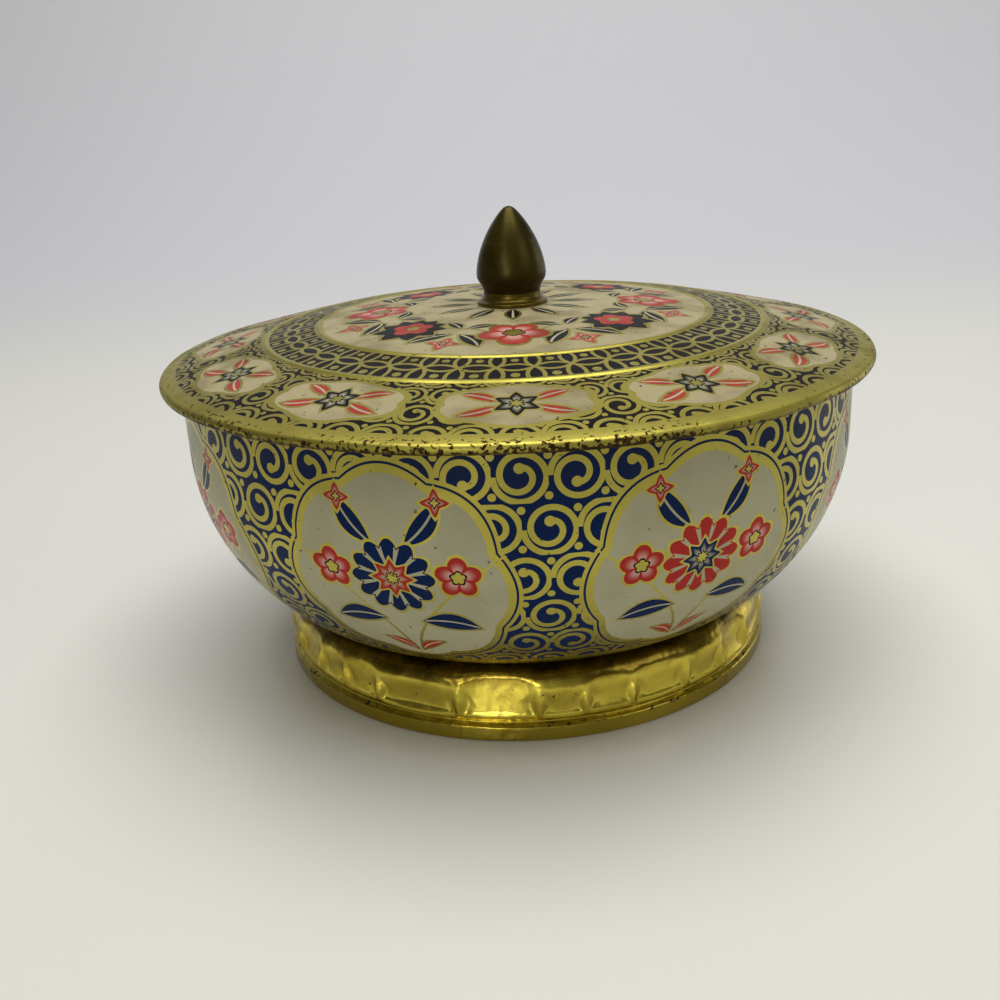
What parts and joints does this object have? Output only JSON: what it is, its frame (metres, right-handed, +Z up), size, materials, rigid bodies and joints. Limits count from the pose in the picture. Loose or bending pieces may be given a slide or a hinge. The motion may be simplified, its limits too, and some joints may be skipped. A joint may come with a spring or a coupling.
{
  "type": "biscuit tin",
  "caption": "Round-sided bowl of printed tinplate on a gold pressed foot, with a domed slip-over lid and a bud-shaped brass knob, for keeping biscuits.",
  "frame": {"origin": "centre of the foot's resting edge, on the surface that the tin stands on", "axes": "+Z up along the tin's own axis; the picture looks along +Y, with +X to the right"},
  "size_m": [0.2, 0.2, 0.127],
  "materials": {
    "printed_tin": "glossy printed lacquer",
    "printed_tin_lid": "glossy printed lacquer, worn at the edge",
    "gold_lacquer": "shiny gold lacquer on tinplate",
    "rivet_metal": "satin",
    "aged_brass": "dark patina",
    "collar_brass": "tarnished satin",
    "screw_steel": "zinc plated"
  },
  "bodies": {
    "bowl_and_foot": {"bowl": "printed_tin", "foot": "gold_lacquer", "foot_rivets": "rivet_metal"},
    "lid": {"lid": "printed_tin_lid", "knob_bud": "aged_brass", "knob_collar": "collar_brass", "knob_screw": "screw_steel", "screw_washer": "screw_steel"}
  },
  "joints": [
    {"name": "lid_lift", "type": "slide", "parent": "bowl_and_foot", "child": "lid", "axis": [0, 0, 1], "range_m": [0, 0.12]}
  ]
}
